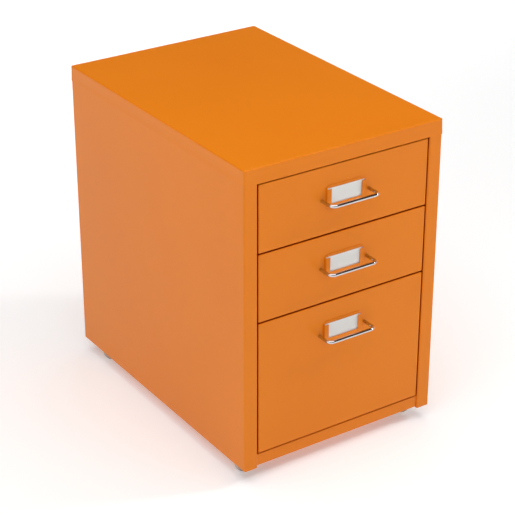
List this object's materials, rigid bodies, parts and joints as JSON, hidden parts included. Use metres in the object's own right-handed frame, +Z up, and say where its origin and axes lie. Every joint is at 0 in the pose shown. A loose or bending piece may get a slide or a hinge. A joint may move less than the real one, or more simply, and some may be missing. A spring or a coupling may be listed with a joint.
{
  "type": "metal filing cabinet",
  "caption": "Sheet-steel pedestal filing cabinet on swivel castors: shallow drawers above a deep file drawer, each with a wire handle and a label holder.",
  "frame": {"origin": "on the floor, under the middle of the bounding box, which reaches from the front of the handles to the back of the top cap", "axes": "+Z up, -Y the front that the drawers open towards, +X to the right of someone facing the front"},
  "size_m": [0.4, 0.6014, 0.587],
  "materials": {
    "painted_sheet": "semi-gloss orange powder coat with a faint texture",
    "chrome_wire": "bright polished chrome plate",
    "zinc_plate": "dull zinc-plated steel",
    "card": "uncoated off-white card",
    "wheel_plastic": "moulded grey nylon, slightly scuffed"
  },
  "bodies": {
    "cabinet": {"top_cap": "painted_sheet", "left_side_panel": "painted_sheet", "right_side_panel": "painted_sheet", "back_panel": "painted_sheet", "base_panel": "painted_sheet", "bottom_runner_left": "zinc_plate", "bottom_runner_right": "zinc_plate", "middle_runner_left": "zinc_plate", "middle_runner_right": "zinc_plate", "top_runner_left": "zinc_plate", "top_runner_right": "zinc_plate", "castor_plate_front_left": "zinc_plate", "castor_plate_front_right": "zinc_plate", "castor_plate_rear_left": "zinc_plate", "castor_plate_rear_right": "zinc_plate"},
    "bottom_drawer": {"bottom_drawer_front": "painted_sheet", "bottom_drawer_box": "painted_sheet", "bottom_drawer_handle": "chrome_wire", "bottom_drawer_screw_left": "zinc_plate", "bottom_drawer_screw_right": "zinc_plate", "bottom_drawer_label_holder": "painted_sheet", "bottom_drawer_label_card": "card", "bottom_drawer_rail_left": "zinc_plate", "bottom_drawer_rail_right": "zinc_plate", "file_rail_front": "zinc_plate", "file_rail_rear": "zinc_plate"},
    "middle_drawer": {"middle_drawer_front": "painted_sheet", "middle_drawer_box": "painted_sheet", "middle_drawer_handle": "chrome_wire", "middle_drawer_screw_left": "zinc_plate", "middle_drawer_screw_right": "zinc_plate", "middle_drawer_label_holder": "painted_sheet", "middle_drawer_label_card": "card", "middle_drawer_rail_left": "zinc_plate", "middle_drawer_rail_right": "zinc_plate"},
    "top_drawer": {"top_drawer_front": "painted_sheet", "top_drawer_box": "painted_sheet", "top_drawer_handle": "chrome_wire", "top_drawer_screw_left": "zinc_plate", "top_drawer_screw_right": "zinc_plate", "top_drawer_label_holder": "painted_sheet", "top_drawer_label_card": "card", "top_drawer_rail_left": "zinc_plate", "top_drawer_rail_right": "zinc_plate"},
    "castor_swivel_front_left": {"castor_fork_front_left": "zinc_plate", "castor_axle_front_left": "zinc_plate"},
    "castor_roller_front_left": {"castor_wheel_front_left": "wheel_plastic"},
    "castor_swivel_front_right": {"castor_fork_front_right": "zinc_plate", "castor_axle_front_right": "zinc_plate"},
    "castor_roller_front_right": {"castor_wheel_front_right": "wheel_plastic"},
    "castor_swivel_rear_left": {"castor_fork_rear_left": "zinc_plate", "castor_axle_rear_left": "zinc_plate"},
    "castor_roller_rear_left": {"castor_wheel_rear_left": "wheel_plastic"},
    "castor_swivel_rear_right": {"castor_fork_rear_right": "zinc_plate", "castor_axle_rear_right": "zinc_plate"},
    "castor_roller_rear_right": {"castor_wheel_rear_right": "wheel_plastic"}
  },
  "joints": [
    {"name": "drawer_bottom_slide", "type": "slide", "parent": "cabinet", "child": "bottom_drawer", "axis": [0, -1, 0], "range_m": [0, 0.4]},
    {"name": "drawer_middle_slide", "type": "slide", "parent": "cabinet", "child": "middle_drawer", "axis": [0, -1, 0], "range_m": [0, 0.4]},
    {"name": "drawer_top_slide", "type": "slide", "parent": "cabinet", "child": "top_drawer", "axis": [0, -1, 0], "range_m": [0, 0.4]},
    {"name": "swivel_front_left", "type": "hinge", "parent": "cabinet", "child": "castor_swivel_front_left", "pos_m": [-0.1625, -0.22775, 0.045], "axis": [0, 0, 1], "continuous": true},
    {"name": "swivel_front_right", "type": "hinge", "parent": "cabinet", "child": "castor_swivel_front_right", "pos_m": [0.1625, -0.22775, 0.045], "axis": [0, 0, 1], "continuous": true},
    {"name": "swivel_rear_left", "type": "hinge", "parent": "cabinet", "child": "castor_swivel_rear_left", "pos_m": [-0.1625, 0.23725, 0.045], "axis": [0, 0, 1], "continuous": true},
    {"name": "swivel_rear_right", "type": "hinge", "parent": "cabinet", "child": "castor_swivel_rear_right", "pos_m": [0.1625, 0.23725, 0.045], "axis": [0, 0, 1], "continuous": true},
    {"name": "wheel_front_left", "type": "hinge", "parent": "castor_swivel_front_left", "child": "castor_roller_front_left", "pos_m": [-0.1735, -0.22775, 0.0185], "axis": [0, 1, 0], "continuous": true},
    {"name": "wheel_front_right", "type": "hinge", "parent": "castor_swivel_front_right", "child": "castor_roller_front_right", "pos_m": [0.1735, -0.22775, 0.0185], "axis": [0, 1, 0], "continuous": true},
    {"name": "wheel_rear_left", "type": "hinge", "parent": "castor_swivel_rear_left", "child": "castor_roller_rear_left", "pos_m": [-0.1735, 0.23725, 0.0185], "axis": [0, 1, 0], "continuous": true},
    {"name": "wheel_rear_right", "type": "hinge", "parent": "castor_swivel_rear_right", "child": "castor_roller_rear_right", "pos_m": [0.1735, 0.23725, 0.0185], "axis": [0, 1, 0], "continuous": true}
  ]
}
